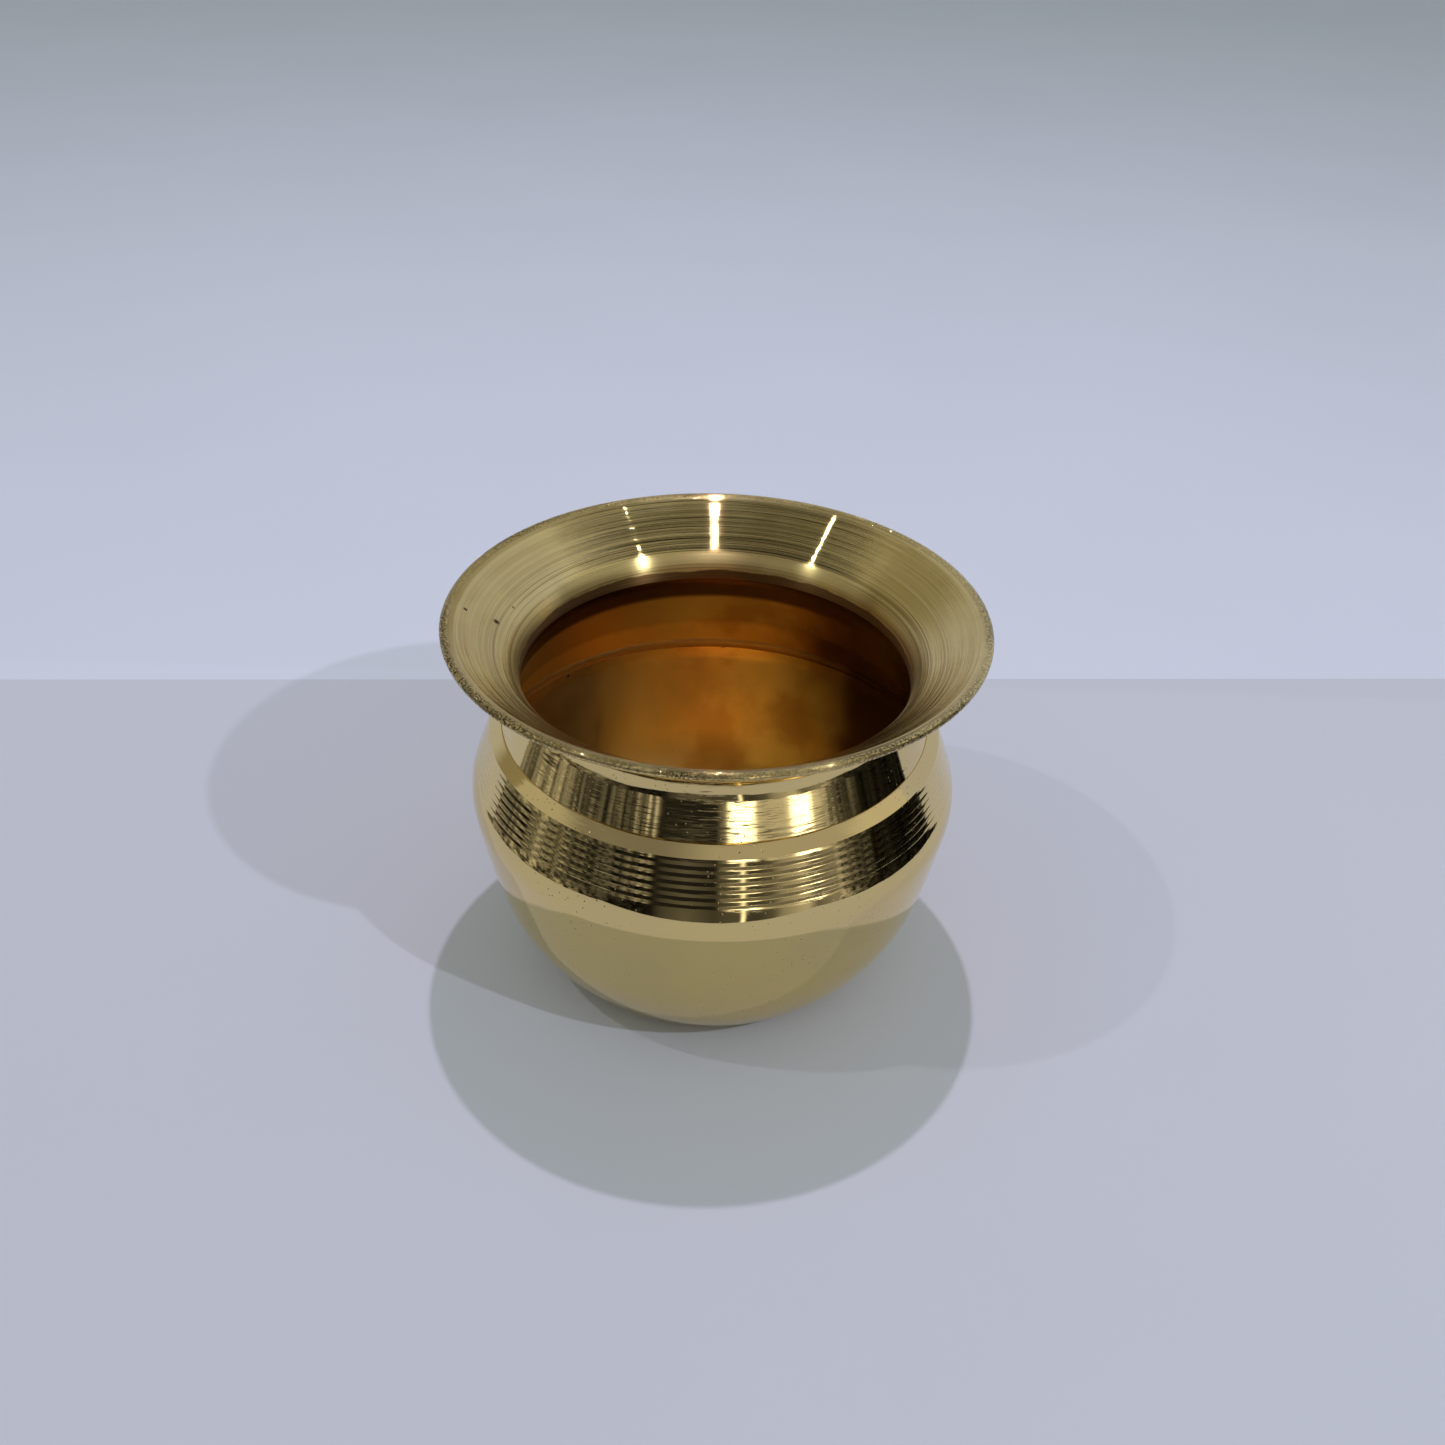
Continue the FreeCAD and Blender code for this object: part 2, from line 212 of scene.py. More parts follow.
def shoulder_corners():
    """The girth bend's centre and the slope's start, then the ledge's edge and the neck's foot,
    outside and on the underside."""
    girth = (GIRTH_RADIUS - GIRTH_BEND, GIRTH_HEIGHT)
    slope_start = polar(girth, GIRTH_BEND, SHOULDER_SLOPE)
    edge = meet(slope_start, 90 + SHOULDER_SLOPE, (LEDGE_RADIUS, 0), 90)
    foot = (FOOT_RADIUS, FOOT_HEIGHT)
    ledge_angle = slope_of(edge, foot)
    under_start = polar(girth, GIRTH_BEND - WALL, SHOULDER_SLOPE)
    under_ledge = polar(foot, WALL, ledge_angle + 90)
    under_edge = meet(under_start, 90 + SHOULDER_SLOPE, under_ledge, ledge_angle)
    under_foot = meet(foot, 90 + NECK_SLOPE, under_ledge, ledge_angle)
    return girth, slope_start, edge, foot, under_edge, under_foot


def shoulder_outline():
    """The upper ring: outside from the neck's foot down, the lap's rabbet, and inside back up."""
    girth, slope_start, edge, foot, under_edge, under_foot = shoulder_corners()
    slope_end, *edge_round = rounded(edge, slope_start, foot, EDGE_ROUND)
    slope = line(slope_end, slope_start, GROOVE_STEP)
    centres = [FIRST_GROOVE + GROOVE_PITCH * k for k in range(GROOVE_COUNT)]
    slope = grooved(slope, centres, GROOVE_WAVE, GROOVE_PITCH)
    slope = grooved(slope, centres, GROOVE_CUT, CUT_WIDTH)
    foot_round = rounded(foot, edge, under_foot, EDGE_ROUND)
    ledge = line(foot_round[0], edge_round[-1], FLAT_STEP)
    girth_bend = arc(girth, GIRTH_BEND, SHOULDER_SLOPE, 0, 1)
    outside = foot_round[::-1] + ledge + edge_round[::-1] + slope + girth_bend
    rabbet = GIRTH_RADIUS - WALL / 2
    step = GIRTH_HEIGHT + LAP_HEIGHT
    inner_radius = GIRTH_BEND - WALL
    step_angle = math.degrees(math.asin(LAP_HEIGHT / inner_radius))
    lap = [(rabbet, GIRTH_HEIGHT), (rabbet, step)]
    inside = arc(girth, inner_radius, step_angle, SHOULDER_SLOPE) + [under_edge, under_foot]
    return [("polished", outside), ("pickled", lap), ("pickled", inside)]


def collar_outline():
    """Neck, throat, flare and lip: outside from the skirt up, over the lip, and inside back down."""
    foot = (FOOT_RADIUS, FOOT_HEIGHT)
    neck_normal = 180 + NECK_SLOPE
    flare_normal = 90 + FLARE_RISE
    # The throat's centre lies one bend out from the neck's cone.
    across = THROAT_RADIUS + THROAT_BEND
    on_cone = meet(foot, 90 + NECK_SLOPE, polar((across, 0), THROAT_BEND, neck_normal), 90)
    throat = (across, on_cone[1] - THROAT_BEND * math.sin(math.radians(neck_normal)))
    lip = (RIM_RADIUS - LIP_THICKNESS / 2, TOTAL_HEIGHT - LIP_THICKNESS / 2)
    lip_radius = LIP_THICKNESS / 2
    skirt = meet(foot, 90 + NECK_SLOPE, (0, SKIRT_HEIGHT), 0)
    skirt_inside = polar(skirt, WALL, neck_normal)
    flare = polar(throat, THROAT_BEND, flare_normal)
    under_lip = polar(lip, lip_radius, LIP_RISE - 90)
    over_lip = polar(lip, lip_radius, LIP_RISE + 90)
    under_corner = meet(flare, FLARE_RISE, under_lip, LIP_RISE)
    inner_flare = polar(throat, THROAT_BEND + WALL, flare_normal)
    over_corner = meet(inner_flare, FLARE_RISE, over_lip, LIP_RISE)
    outside = line(skirt, polar(throat, THROAT_BEND, neck_normal))
    outside += arc(throat, THROAT_BEND, neck_normal, flare_normal, 2)
    bend = rounded(under_corner, flare, under_lip, UNDER_LIP_ROUND)
    outside += line(flare, bend[0], FLAT_STEP) + bend + line(bend[-1], under_lip, FLAT_STEP)
    outside += arc(lip, lip_radius, LIP_RISE - 90, LIP_RISE, 6)
    lip_top = arc(lip, lip_radius, LIP_RISE, LIP_RISE + 90, 6)
    inner_throat = arc(throat, THROAT_BEND + WALL, flare_normal, neck_normal, 1.5)
    bend = rounded(over_corner, over_lip, inner_flare, OVER_LIP_ROUND)
    flared = line(over_lip, bend[0], FLAT_STEP) + bend + line(bend[-1], inner_flare, FLAT_STEP)
    # The brushed material reaches a little below the polish's ragged end, which it paints.
    change = POLISH_END - 2
    polish = [point for point in inner_throat if point[1] > change]
    raw = [point for point in inner_throat if point[1] <= change]
    raw += line(raw[-1], skirt_inside) + [skirt]
    return [("polished", outside), ("brushed", lip_top + flared + polish), ("pickled", raw)]


def belly_braze_outline():
    """The bead inside the lap joint, with a slightly hollow face."""
    girth = (GIRTH_RADIUS - GIRTH_BEND, GIRTH_HEIGHT)
    corner = (GIRTH_RADIUS - WALL, GIRTH_HEIGHT + LAP_HEIGHT)
    inner_radius = GIRTH_BEND - WALL
    top_angle = math.degrees(math.asin((LAP_HEIGHT + BRAZE_LEG) / inner_radius))
    step_angle = math.degrees(math.asin(LAP_HEIGHT / inner_radius))
    low = (corner[0], corner[1] - BRAZE_LEG)
    high = polar(girth, inner_radius, top_angle)
    half = math.dist(low, high) / 2
    out = math.sqrt(BRAZE_HOLLOW ** 2 - half ** 2)
    middle = ((low[0] + high[0]) / 2, (low[1] + high[1]) / 2)
    centre = polar(middle, out, slope_of(low, high) - 90)
    first, last = slope_of(centre, high) % 360, slope_of(centre, low) % 360
    against = [low, corner] + arc(girth, inner_radius, step_angle, top_angle)
    return [("pickled", against), ("braze", arc(centre, BRAZE_HOLLOW, first, last, 6))]


def neck_braze_outline():
    """The ring between the collar's skirt and the shoulder's underside."""
    *_, foot, under_edge, under_foot = shoulder_corners()
    low_slope = polar(under_edge, BRAZE_LEG, SHOULDER_SLOPE - 90)
    low_skirt = meet(low_slope, SHOULDER_SLOPE + 180, foot, 90 + NECK_SLOPE)
    return [("braze", [under_foot, low_skirt, low_slope, under_edge])]


# ---------------------------------------------------------------- lathe

def lathe(name, node, stretches):
    """Turns an outline of (material, points) stretches into a piece that replaces a node.

    A stretch's material covers the faces that end at its points. An outline that starts on the
    axis also ends there, and any other closes on itself.
    """
    points, kinds = [], []
    for kind, stretch in stretches:
        for point in stretch:
            if points and math.dist(point, points[-1]) < SAME_POINT:
                continue
            points.append(point)
            kinds.append(kind)
    names = sorted(set(kinds))
    vertices, rings = [], []
    for radius, height in points:
        if radius < ON_AXIS:
            rings.append([len(vertices)] * SEGMENTS)
            vertices.append((0.0, 0.0, height * MM))
            continue
        rings.append([len(vertices) + k for k in range(SEGMENTS)])
        for k in range(SEGMENTS):
            turn = 2 * math.pi * k / SEGMENTS
            vertices.append((radius * MM * math.cos(turn), radius * MM * math.sin(turn), height * MM))
    starts_on_axis = points[0][0] <= ON_AXIS
    faces, slots = [], []
    for i in range(len(points) - 1 if starts_on_axis else len(points)):
        end = (i + 1) % len(points)
        low, high = rings[i], rings[end]
        for k in range(SEGMENTS):
            beside = (k + 1) % SEGMENTS
            corners = [low[k], low[beside], high[beside], high[k]]
            corners = [corner for n, corner in enumerate(corners) if corner != corners[n - 1]]
            faces.append(corners)
            slots.append(names.index(kinds[end]))
    mesh = bpy.data.meshes.new(name)
    mesh.from_pydata(vertices, [], faces)
    for kind in names:
        mesh.materials.append(MATERIALS[kind])
    mesh.polygons.foreach_set("material_index", slots)
    mesh.polygons.foreach_set("use_smooth", [True] * len(faces))
    mesh.set_sharp_from_angle(angle=math.radians(SHARP_ANGLE))
    mesh.update()
    piece = bpy.data.objects.new(name, mesh)
    bpy.context.scene.collection.objects.link(piece)
    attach(piece, "root")
    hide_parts(node)


# ---------------------------------------------------------------- materials

def add(tree, kind, options=None, inputs=()):
    """Makes a node. Each input is (name or number, value or socket to link)."""
    made = tree.nodes.new(kind)
    for option, value in (options or {}).items():
        setattr(made, option, value)
    for key, value in inputs:
        if isinstance(value, bpy.types.NodeSocket):
            tree.links.new(value, made.inputs[key])
        else:
            made.inputs[key].default_value = value
    return made


def math_node(tree, operation, *values):
    made = add(tree, "ShaderNodeMath", {"operation": operation}, list(enumerate(values)))
    return made.outputs[0]


def vector_node(tree, operation, first, second=None):
    """A vector worked out from another, with a second one or, for SCALE, a number."""
    inputs = [(0, first)]
    if second is not None:
        inputs.append(("Scale" if operation == "SCALE" else 1, second))
    made = add(tree, "ShaderNodeVectorMath", {"operation": operation}, inputs)
    return made.outputs["Value" if operation == "DISTANCE" else "Vector"]


def blend(tree, factor, low, high):
    """A value between two others, or a colour where either of them is written as one."""
    kind = "RGBA" if isinstance(low, tuple) or isinstance(high, tuple) else "FLOAT"
    made = tree.nodes.new("ShaderNodeMix")
    made.data_type = kind
    a, b, out = (6, 7, 2) if kind == "RGBA" else (2, 3, 0)
    for index, value in ((0, factor), (a, low), (b, high)):
        if isinstance(value, bpy.types.NodeSocket):
            tree.links.new(value, made.inputs[index])
        else:
            made.inputs[index].default_value = value
    return made.outputs[out]


def between(tree, value, low, high):
    """Runs from 0 to 1 as the value runs from low to high."""
    made = add(
        tree, "ShaderNodeMapRange", {"interpolation_type": "SMOOTHSTEP"},
        [("Value", value), ("From Min", low), ("From Max", high)],
    )
    return made.outputs["Result"]


class Surface:
    """A metal's node tree, with coordinates in millimetres that follow the turning."""

    def __init__(self, name):
        self.material = bpy.data.materials.new(name)
        self.material.use_nodes = True
        self.tree = self.material.node_tree
        self.shader = self.tree.nodes["Principled BSDF"]
        self.shader.inputs["Metallic"].default_value = 1.0
        place = add(self.tree, "ShaderNodeTexCoord").outputs["Object"]
        self.place = vector_node(self.tree, "SCALE", place, 1 / MM)
        parts = add(self.tree, "ShaderNodeSeparateXYZ", None, [(0, self.place)])
        self.x, self.y, self.z = parts.outputs
        across, ahead = (math_node(self.tree, "MULTIPLY", part, part) for part in (self.x, self.y))
        self.radius = math_node(self.tree, "SQRT", math_node(self.tree, "ADD", across, ahead))

    def noise(self, scale, detail=3.0, roughness=0.5):
        made = add(
            self.tree, "ShaderNodeTexNoise", None,
            [("Vector", self.place), ("Scale", scale), ("Detail", detail), ("Roughness", roughness)],
        )
        return made.outputs["Fac"]

    def rings(self, across, along, detail=3.0):
        """Fine lines round the axis: quick change across them, slow change along them."""
        squash = add(
            self.tree, "ShaderNodeCombineXYZ", None,
            [
                ("X", math_node(self.tree, "MULTIPLY", self.x, along)),
                ("Y", math_node(self.tree, "MULTIPLY", self.y, along)),
                ("Z", math_node(self.tree, "MULTIPLY", self.z, across)),
            ],
        )
        made = add(
            self.tree, "ShaderNodeTexNoise", {"noise_dimensions": "4D"},
            [
                ("Vector", squash.outputs[0]),
                ("W", math_node(self.tree, "MULTIPLY", self.radius, across)),
                ("Scale", 1.0),
                ("Detail", detail),
            ],
        )
        return made.outputs["Fac"]

    def pits(self, spacing, size, density):
        """Small holes, 1 at the middle of each, where the density noise is high."""
        cells = add(
            self.tree, "ShaderNodeTexVoronoi", None,
            [("Vector", self.place), ("Scale", 1 / spacing), ("Randomness", 1.0)],
        )
        near = between(self.tree, cells.outputs["Distance"], size / spacing, size / spacing * 0.4)
        return math_node(self.tree, "MULTIPLY", near, density)

    def spot(self, point, size):
        """1 at a point and 0 beyond the size from it."""
        away = vector_node(self.tree, "DISTANCE", self.place, point)
        return between(self.tree, away, size, size * 0.3)

    def along(self):
        """The direction of turning."""
        return add(self.tree, "ShaderNodeTangent", {"direction_type": "RADIAL", "axis": "Z"}).outputs[0]

    def leaning(self, lines, amount):
        """The normal leaned to and fro across the turning lines, as by fine scratches."""
        tree = self.tree
        normal = add(tree, "ShaderNodeNewGeometry").outputs["Normal"]
        across = vector_node(tree, "CROSS_PRODUCT", self.along(), normal)
        lean = math_node(tree, "MULTIPLY", math_node(tree, "SUBTRACT", lines, 0.5), amount)
        total = vector_node(tree, "ADD", normal, vector_node(tree, "SCALE", across, lean))
        return vector_node(tree, "NORMALIZE", total)

    def bump(self, height, distance, normal=None):
        """The normal of a surface raised by a height of up to a distance in millimetres."""
        inputs = [("Height", height), ("Strength", 1.0), ("Distance", distance * MM)]
        if normal:
            inputs.append(("Normal", normal))
        return add(self.tree, "ShaderNodeBump", None, inputs).outputs["Normal"]

    def set(self, name, value):
        """Sets one of the shader's inputs to a value, or links it."""
        if isinstance(value, bpy.types.NodeSocket):
            self.tree.links.new(value, self.shader.inputs[name])
        else:
            self.shader.inputs[name].default_value = value

    def edge_grain(self):
        """Dark specks on the outer edge of the lip, thicker in some places than in others."""
        tree = self.tree
        edge = between(tree, self.radius, 47.8, 49.3)
        more = between(tree, self.noise(0.04, 1.0), 0.35, 0.6)
        edge = math_node(tree, "MULTIPLY", edge, math_node(tree, "MULTIPLY_ADD", more, 0.6, 0.4))
        return math_node(tree, "MULTIPLY", between(tree, self.noise(2.6, 4.0, 0.7), 0.47, 0.54), edge)

    def tarnished(self, colour):
        """The colour darkened: tarnish and painted shade right below the throat, painted shade above the
        belly's joint and down the +X side.
        """
        tree = self.tree
        # Tarnish together with painted shade right below the throat, and painted shade in a band above
        # the belly's joint.
        high = math_node(tree, "MULTIPLY", between(tree, self.z, 55.8, 57.8), 0.95)
        shade = math_node(tree, "MULTIPLY", between(tree, self.z, 46.5, 49.0), 0.25)
        colour = blend(tree, math_node(tree, "MAXIMUM", high, shade), colour, (0.08, 0.03, 0.012, 1))
        # Painted shade: the inside darkened down the +X side.
        waver = math_node(tree, "MULTIPLY_ADD", self.noise(0.06, 2.0), 16.0, -8.0)
        side = between(tree, math_node(tree, "ADD", self.x, waver), 10.0, 30.0)
        side = math_node(tree, "MULTIPLY", side, between(tree, self.y, -30.0, 8.0))
        return blend(tree, side, colour, (0.035, 0.014, 0.007, 1))


def polished_brass():
    """Mirror-bright outside: faint polishing lines, smudges and scattered pits."""
    metal = Surface("polished_brass")
    tree = metal.tree
    tone = between(tree, metal.noise(0.045), 0.35, 0.65)
    clean = blend(tree, tone, (0.78, 0.60, 0.27, 1), (0.82, 0.63, 0.26, 1))
    # The neck and the grooved slope keep more polishing scratches than the belly.
    worked = between(tree, metal.z, 42.0, 43.5)
    scratches = metal.rings(5.0, 0.25, 4.0)
    patches = between(tree, metal.noise(0.06, 2.0), 0.42, 0.68)
    patches = math_node(tree, "MAXIMUM", patches, metal.spot((-24.0, -40.0, 38.0), 16.0))
    pits = metal.pits(1.1, 0.16, patches)
    grain = metal.edge_grain()
    # A few short scratches under the lip on the near side.
    marks = between(tree, metal.rings(3.0, 0.2), 0.55, 0.65)
    marks = math_node(tree, "MULTIPLY", metal.spot((-0.5, -37.8, 62.0), 8.0), marks)
    dark = math_node(tree, "MAXIMUM", pits, grain)
    dark = math_node(tree, "MAXIMUM", dark, math_node(tree, "MULTIPLY", marks, 0.6))
    metal.set("Base Color", blend(tree, dark, clean, (0.13, 0.09, 0.035, 1)))
    smudge = between(tree, metal.noise(0.12, 4.0), 0.4, 0.75)
    rough = math_node(tree, "MULTIPLY_ADD", smudge, 0.04, 0.03)
    rough = math_node(tree, "MULTIPLY_ADD", worked, 0.03, rough)
    metal.set("Roughness", math_node(tree, "MULTIPLY_ADD", dark, 0.35, rough))
    amount = math_node(tree, "MULTIPLY_ADD", worked, 0.09, 0.03)
    normal = metal.bump(metal.noise(0.08, 1.0), 0.05, metal.leaning(scratches, amount))
    metal.set("Normal", metal.bump(math_node(tree, "MULTIPLY", dark, -1.0), 0.04, normal))
    return metal.material


def pickled_brass():
    """The unpolished inside: smooth but dull, stained and tarnished, with a few pits, painted lighter
    towards the -X side and with painted shade.
    """
    metal = Surface("pickled_brass")
    tree = metal.tree
    cloud = between(tree, metal.noise(0.08, 5.0), 0.38, 0.62)
    colour = blend(tree, cloud, (0.84, 0.54, 0.15, 1), (0.64, 0.35, 0.085, 1))
    # Painted light: the inside is painted brighter towards the -X side.
    colour = blend(tree, between(tree, metal.x, 5.0, -22.0), colour, (1.0, 0.72, 0.23, 1))
    pits = metal.pits(9.0, 0.5, between(tree, metal.noise(0.03, 1.0), 0.5, 0.6))
    for point, size in (((1.4, 45.3, 40.4), 1.1), ((-31.6, 32.5, 39.2), 0.7)):
        pits = math_node(tree, "MAXIMUM", pits, metal.spot(point, size))
    colour = metal.tarnished(colour)
    metal.set("Base Color", blend(tree, pits, colour, (0.06, 0.03, 0.015, 1)))
    rough = math_node(tree, "MULTIPLY_ADD", metal.noise(0.15, 3.0), 0.14, 0.25)
    metal.set("Roughness", math_node(tree, "MULTIPLY_ADD", pits, 0.3, rough))
    metal.set("Normal", metal.bump(metal.noise(0.12, 2.0), 0.15))
    return metal.material


def brushed_brass():
    """The turned inside of the mouth: fine rings, streaked highlights, unpolished and painted with shade
    further down.
    """
    metal = Surface("brushed_brass")
    tree = metal.tree
    ragged = math_node(tree, "MULTIPLY_ADD", metal.noise(0.15, 3.0), 1.4, POLISH_END - 0.7)
    raw = between(tree, math_node(tree, "SUBTRACT", ragged, metal.z), -0.15, 0.25)
    turned = between(tree, metal.z, 66.5, 68.0)
    fine = metal.rings(24.0, 0.012)
    broad = metal.rings(1.3, 0.012, 2.0)
    stain = between(tree, metal.noise(0.07, 3.0), 0.4, 0.7)
    olive = blend(tree, between(tree, broad, 0.35, 0.65), (0.68, 0.52, 0.20, 1), (0.78, 0.61, 0.25, 1))
    olive = blend(tree, stain, olive, (0.82, 0.65, 0.27, 1))
    grain = metal.edge_grain()
    pits = metal.spot((-41.0, 3.4, 69.5), 0.9)
    for point, size in (((-46.2, 1.2, 73.2), 0.6), ((-38.7, 10.2, 68.9), 0.5)):
        pits = math_node(tree, "MAXIMUM", pits, metal.spot(point, size))
    scattered = metal.pits(1.6, 0.16, between(tree, metal.noise(0.05, 2.0), 0.55, 0.7))
    pits = math_node(tree, "MAXIMUM", pits, scattered)
    # Below the polish's ragged end: dark brown, the unpolished metal's tarnish together with painted
    # shade under the throat.
    colour = blend(tree, raw, olive, (0.20, 0.11, 0.04, 1))
    # Dark turning lines next to the throat.
    cuts = between(tree, metal.rings(3.0, 0.01, 2.0), 0.53, 0.62)
    cuts = math_node(tree, "MULTIPLY", cuts, between(tree, metal.radius, 43.5, 40.0))
    colour = blend(tree, math_node(tree, "MULTIPLY", cuts, 0.6), colour, (0.24, 0.16, 0.06, 1))
    dark = math_node(tree, "MAXIMUM", grain, pits)
    metal.set("Base Color", blend(tree, dark, colour, (0.09, 0.06, 0.022, 1)))
    rough = math_node(tree, "MULTIPLY_ADD", dark, 0.3, 0.3)
    rough = math_node(tree, "MULTIPLY_ADD", turned, -0.245, rough)
    metal.set("Roughness", math_node(tree, "MULTIPLY_ADD", raw, 0.15, rough))
    metal.set("Tangent", metal.along())
    metal.set("Anisotropic", 1.0)
    metal.set("Anisotropic Rotation", 0.25)
    amount = math_node(tree, "MULTIPLY_ADD", turned, 1.6, 0.35)
    normal = metal.bump(broad, 0.004, metal.leaning(fine, amount))
    metal.set("Normal", metal.bump(math_node(tree, "MULTIPLY", dark, -1.0), 0.04, normal))
    return metal.material


def braze_metal():
    """The brazing metal: darker and lumpier than the sheet, tarnished and painted with shade like the
    inside.
    """
    metal = Surface("braze_metal")
    tree = metal.tree
    colour = blend(tree, metal.noise(0.5), (0.74, 0.44, 0.12, 1), (0.62, 0.35, 0.10, 1))
    metal.set("Base Color", metal.tarnished(colour))
    metal.set("Roughness", math_node(tree, "MULTIPLY_ADD", metal.noise(0.8), 0.15, 0.4))
    metal.set("Normal", metal.bump(metal.noise(0.6, 3.0), 0.1))
    return metal.material


MATERIALS = {
    "polished": polished_brass(),
    "brushed": brushed_brass(),
    "pickled": pickled_brass(),
    "braze": braze_metal(),
}


# ---------------------------------------------------------------- stage, light and camera

# The table under the pot, as the metal sees it, and the wall behind it, in metres.
TABLE_SIDE = 0.145
TABLE_NEAR = -0.167
TABLE_LIFT = 0.0002
WALL_PLANE = 0.094
WALL_FOOT = -0.04
WALL_TOP = 0.33
WALL_SIDE = 0.36

# The plain floor in two nearly equal tones. They meet on a line that leans a little to the left.
FLOOR_HALF = 3.0
FLOOR_LEAN = 0.055
FLOOR_TONE = (0.715, 0.735, 0.82)
FAR_TONE = (0.83, 0.87, 1.0)
WALL_TONE = (0.47, 0.50, 0.62)
WALL_CORNER_TONE = (0.26, 0.245, 0.19)

# Brightness of the room on the near side of the table, by degrees to the +X side of the front.
ROOM = [
    (-112, 0.023),
    (-88, 0.023),
    (-85, 0.21),
    (-68, 0.21),
    (-65, 0.059),
    (-56, 0.059),
    (-50, 0.109),
    (-38, 0.109),
    (-35, 0.455),
    (-27, 0.643),
    (-25, 0.022),
    (3, 0.022),
    (7, 0.411),
    (10, 5.5),
    (19, 5.5),
    (22, 1.07),
    (25, 0.775),
    (36, 0.825),
    (38, 1.665),
    (40, 5.5),
    (48, 5.5),
    (50, 1.18),
    (57, 0.61),
    (60, 0.086),
    (74, 0.086),
    (76, 0.007),
    (112, 0.007),
]

# The same, further down.
ROOM_LOW = [
    (-110, 0.202),
    (-104, 0.133),
    (-95, 0.279),
    (-80, 0.361),
    (-76, 0.117),
    (-65, 0.259),
    (-55, 0.072),
    (-45, 0.054),
    (-40, 0.018),
    (-24, 0.014),
    (-20, 0.087),
    (-10, 0.16),
    (2, 0.076),
    (6, 0.104),
    (13.2, 0.128),
    (13.8, 2.615),
    (14.6, 2.615),
    (15.2, 0.084),
    (20, 0.074),
    (27, 0.143),
    (31, 0.393),
    (42, 0.71),
    (46, 0.186),
    (56, 0.409),
    (62, 0.162),
    (70, 0.051),
    (76, 0.014),
    (112, 0.014),
]

# Brightness of the room's part above the windows, and of the ceiling on the left and the right,
# at its edge and overhead.
OVER_WINDOWS = 0.233
CEILING_EDGE = (0.482, 0.605)
CEILING_OVERHEAD = (0.222, 0.442)
CEILING_PATCH = 0.0245

# Light for everything but mirrors.
EVEN_TONE = (0.91, 1.0, 0.92, 1)
EVEN_STRENGTH = 0.35

# Each small round lamp: direction from the rim, distance and size in metres, watts, colour.
LAMPS = {
    "lamp_above": ((0.0135, 0.248, 1.0), 1.0, 0.017, 2.65, (0.88, 0.78, 1.0)),
    "lamp_right": ((0.65, -0.545, 0.74), 1.2, 0.022, 2.8, (0.82, 0.86, 1.0)),
    "lamp_left": ((-0.63, -0.19, 1.0), 1.2, 0.022, 1.05, (0.92, 0.94, 1.0)),
}

# The camera: distance from the rim's centre in rim radii, and angles in degrees.
CAMERA_DISTANCE = 5.28
CAMERA_RISE = 30.19
CAMERA_PITCH = 34.43
CAMERA_YAW = 0.39
CAMERA_ROLL = 1.88
LENS = 36.0


def sheet(name, corners, colour, glow=None, upper_left=None):
    """A flat card. With a glow it shines evenly instead of being lit. Its upper left can differ."""
    mesh = bpy.data.meshes.new(name)
    mesh.from_pydata(corners, [], [(0, 1, 2, 3)])
    card = bpy.data.objects.new(name, mesh)
    bpy.context.scene.collection.objects.link(card)
    material = bpy.data.materials.new(name)
    material.use_nodes = True
    tree = material.node_tree
    shader = tree.nodes["Principled BSDF"]
    place = add(tree, "ShaderNodeTexCoord").outputs["Object"]
    cloud = add(tree, "ShaderNodeTexNoise", None, [("Vector", place), ("Scale", 9.0), ("Detail", 4.0)])
    low = tuple(0.97 * c for c in colour) + (1,)
    high = tuple(1.03 * c for c in colour) + (1,)
    tone = blend(tree, cloud.outputs["Fac"], low, high)
    if upper_left:
        x, _, z = add(tree, "ShaderNodeSeparateXYZ", None, [(0, place)]).outputs
        part = math_node(tree, "MULTIPLY", between(tree, x, 0.03, -0.03), between(tree, z, 0.09, 0.13))
        tone = blend(tree, part, tone, (*upper_left, 1))
    shader.inputs["Roughness"].default_value = 0.6
    shader.inputs["Specular IOR Level"].default_value = 0.2
    if glow:
        shader.inputs["Base Color"].default_value = (0, 0, 0, 1)
        tree.links.new(tone, shader.inputs["Emission Color"])
        shader.inputs["Emission Strength"].default_value = glow
    else:
        tree.links.new(tone, shader.inputs["Base Color"])
    mesh.materials.append(material)
    return card


def only_in_mirrors(card):
    """Hides a card from everything but reflections."""
    card.visible_camera = False
    card.visible_diffuse = False
    card.visible_shadow = False
    card.visible_transmission = False


def make_floor():
    """A plain pale floor. The metal sees it only as far as a table would reach, up to a wall."""
    half = FLOOR_HALF
    left, right = WALL_PLANE - FLOOR_LEAN * half, WALL_PLANE + FLOOR_LEAN * half
    near_side = [(-half, -half, 0), (half, -half, 0), (half, right, 0), (-half, left, 0)]
    far_side = [(-half, left, 0), (half, right, 0), (half, half, 0), (-half, half, 0)]
    sheet("floor", near_side, FLOOR_TONE).visible_glossy = False
    sheet("floor_beyond", far_side, FAR_TONE).visible_glossy = False
    near, side, back, up = TABLE_NEAR, TABLE_SIDE, WALL_PLANE, TABLE_LIFT
    table = [(-side, near, up), (side, near, up), (side, back, up), (-side, back, up)]
    only_in_mirrors(sheet("table_in_mirrors", table, FLOOR_TONE))
    side, low, high = WALL_SIDE, WALL_FOOT, WALL_TOP
    wall = [(-side, back, low), (side, back, low), (side, back, high), (-side, back, high)]
    # The wall seen in mirrors glows instead of being lit, darker at its upper left.
    only_in_mirrors(sheet("wall_in_mirrors", wall, WALL_TONE, 1.0, WALL_CORNER_TONE))


